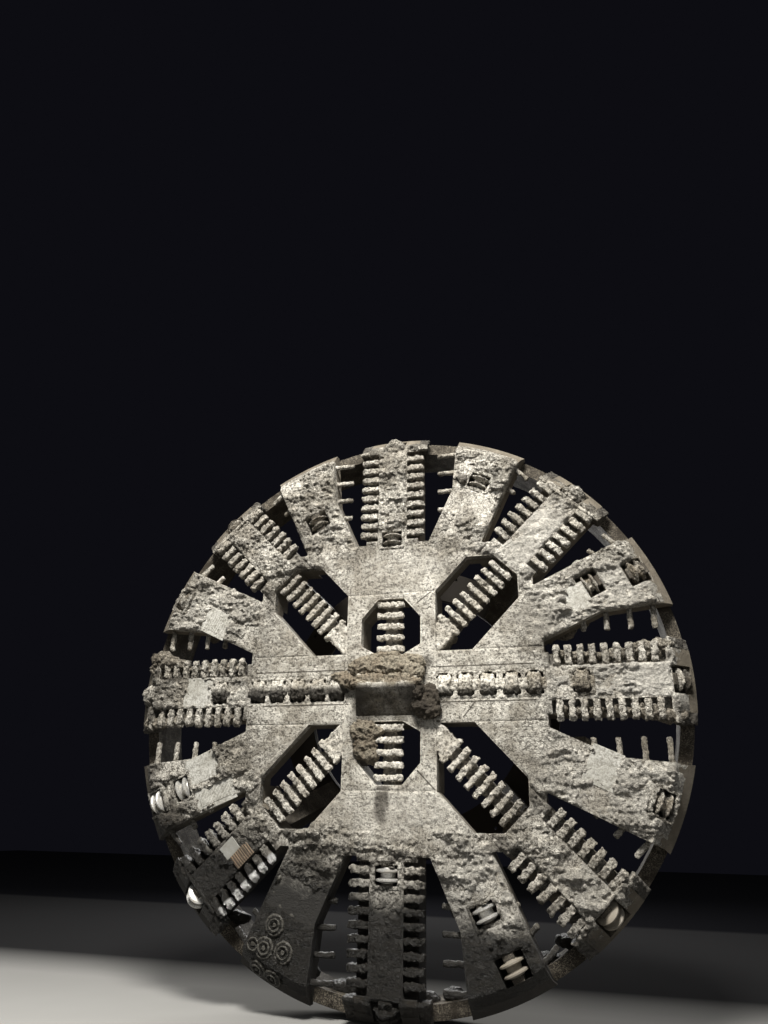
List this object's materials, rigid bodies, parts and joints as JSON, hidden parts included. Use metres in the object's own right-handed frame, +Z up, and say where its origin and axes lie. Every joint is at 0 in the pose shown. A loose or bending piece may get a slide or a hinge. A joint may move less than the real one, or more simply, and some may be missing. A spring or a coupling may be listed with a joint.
{
  "type": "tunnel boring machine cutterhead",
  "caption": "Spoke and panel cutterhead of a tunnel boring machine, with scraper teeth, ladders across its openings, a wedge nose and rolling twin disc cutters, caked in dried mud.",
  "frame": {"origin": "centre of the drive flange's rear face, which bolts to the main bearing", "axes": "+Y out of the rear of the flange, along the turning axis; the cutting face looks along -Y; +Z up, +X to the right seen from the face"},
  "size_m": [10.7996, 2.65, 10.7996],
  "materials": {
    "mud_plate": "structural steel plate caked in dried beige mud",
    "scraper_steel": "hard-faced scraper steel, muddy with polished tips",
    "caked_cutter": "cutter rings packed solid with mud",
    "cutter_steel": "rolled bright cutter rings on a muddy hub",
    "dark_steel": "wet dark steel with a film of mud",
    "machined_steel": "machined flange face with a rust bloom"
  },
  "bodies": {
    "head": {"centre_block": "mud_plate", "nose": "mud_plate", "rim_ring": "dark_steel", "drive_flange": "machined_steel", "drive_legs": "dark_steel", "rotary_seat": "dark_steel", "spoke_000": "mud_plate", "spoke_045": "mud_plate", "spoke_090": "mud_plate", "spoke_135": "mud_plate", "spoke_180": "mud_plate", "spoke_225": "mud_plate", "spoke_270": "mud_plate", "spoke_315": "mud_plate", "panel_022": "mud_plate", "panel_067": "mud_plate", "panel_112": "mud_plate", "panel_157": "mud_plate", "panel_202": "mud_plate", "panel_247": "mud_plate", "panel_292": "mud_plate", "panel_337": "mud_plate", "scrapers_000": "scraper_steel", "scrapers_045": "scraper_steel", "scrapers_090": "scraper_steel", "scrapers_135": "scraper_steel", "scrapers_180": "scraper_steel", "scrapers_225": "scraper_steel", "scrapers_270": "scraper_steel", "scrapers_315": "scraper_steel", "corner_ladders": "scraper_steel", "centre_ladders": "scraper_steel", "muck_bars": "scraper_steel", "wear_strips": "scraper_steel", "port_caps": "dark_steel", "disc_shafts": "dark_steel", "caked_discs_right": "caked_cutter", "caked_discs_left": "caked_cutter", "caked_gauge_discs": "caked_cutter", "mixing_bars": "dark_steel"},
    "disc_top": {"disc_top": "cutter_steel"},
    "disc_bottom": {"disc_bottom": "cutter_steel"},
    "disc_022_inner": {"disc_022_inner": "cutter_steel"},
    "disc_022_outer": {"disc_022_outer": "cutter_steel"},
    "disc_067": {"disc_067": "cutter_steel"},
    "disc_112": {"disc_112": "cutter_steel"},
    "disc_157": {"disc_157": "cutter_steel"},
    "disc_202_inner": {"disc_202_inner": "cutter_steel"},
    "disc_202_outer": {"disc_202_outer": "cutter_steel"},
    "disc_292_inner": {"disc_292_inner": "cutter_steel"},
    "disc_292_outer": {"disc_292_outer": "cutter_steel"},
    "disc_337": {"disc_337": "cutter_steel"},
    "gauge_000": {"gauge_000": "cutter_steel"},
    "gauge_135": {"gauge_135": "cutter_steel"},
    "gauge_225": {"gauge_225": "cutter_steel"},
    "gauge_315": {"gauge_315": "cutter_steel"}
  },
  "joints": [
    {"name": "disc_top_roll", "type": "hinge", "parent": "head", "child": "disc_top", "pos_m": [0, -2.189, 2.997], "axis": [0, 0, 1], "continuous": true},
    {"name": "disc_bottom_roll", "type": "hinge", "parent": "head", "child": "disc_bottom", "pos_m": [0, -2.189, -3.186], "axis": [0, 0, -1], "continuous": true},
    {"name": "disc_022_inner_roll", "type": "hinge", "parent": "head", "child": "disc_022_inner", "pos_m": [3.80287, -2.189, 1.77331], "axis": [0.9063, 0, 0.4226], "continuous": true},
    {"name": "disc_022_outer_roll", "type": "hinge", "parent": "head", "child": "disc_022_outer", "pos_m": [4.62281, -2.19569, 1.96227], "axis": [0.865, 0.342, 0.3672], "continuous": true},
    {"name": "disc_067_roll", "type": "hinge", "parent": "head", "child": "disc_067", "pos_m": [1.82218, -2.189, 4.09268], "axis": [0.4067, 0, 0.9135], "continuous": true},
    {"name": "disc_112_roll", "type": "hinge", "parent": "head", "child": "disc_112", "pos_m": [-1.63849, -2.189, 3.51376], "axis": [-0.4226, 0, 0.9063], "continuous": true},
    {"name": "disc_157_roll", "type": "hinge", "parent": "head", "child": "disc_157", "pos_m": [-4.6044, -2.19569, 1.95445], "axis": [-0.865, 0.342, 0.3672], "continuous": true},
    {"name": "disc_202_inner_roll", "type": "hinge", "parent": "head", "child": "disc_202_inner", "pos_m": [-4.11732, -2.189, -1.81595], "axis": [-0.915, 0, -0.4035], "continuous": true},
    {"name": "disc_202_outer_roll", "type": "hinge", "parent": "head", "child": "disc_202_outer", "pos_m": [-4.58429, -2.19569, -2.05065], "axis": [-0.8578, 0.342, -0.3837], "continuous": true},
    {"name": "disc_292_inner_roll", "type": "hinge", "parent": "head", "child": "disc_292_inner", "pos_m": [1.67514, -2.189, -3.69282], "axis": [0.4131, 0, -0.9107], "continuous": true},
    {"name": "disc_292_outer_roll", "type": "hinge", "parent": "head", "child": "disc_292_outer", "pos_m": [2.09534, -2.189, -4.43272], "axis": [0.4274, 0, -0.9041], "continuous": true},
    {"name": "disc_337_roll", "type": "hinge", "parent": "head", "child": "disc_337", "pos_m": [4.60696, -2.19569, -1.98407], "axis": [0.8631, 0.342, -0.3717], "continuous": true},
    {"name": "gauge_000_roll", "type": "hinge", "parent": "head", "child": "gauge_000", "pos_m": [5.1243, -2.10632, 0], "axis": [0.7314, 0.682, 0], "continuous": true},
    {"name": "gauge_135_roll", "type": "hinge", "parent": "head", "child": "gauge_135", "pos_m": [-3.62343, -2.10632, 3.62343], "axis": [-0.5171, 0.682, 0.5171], "continuous": true},
    {"name": "gauge_225_roll", "type": "hinge", "parent": "head", "child": "gauge_225", "pos_m": [-3.62343, -2.10632, -3.62343], "axis": [-0.5171, 0.682, -0.5171], "continuous": true},
    {"name": "gauge_315_roll", "type": "hinge", "parent": "head", "child": "gauge_315", "pos_m": [3.62343, -2.10632, -3.62343], "axis": [0.5171, 0.682, -0.5171], "continuous": true}
  ]
}
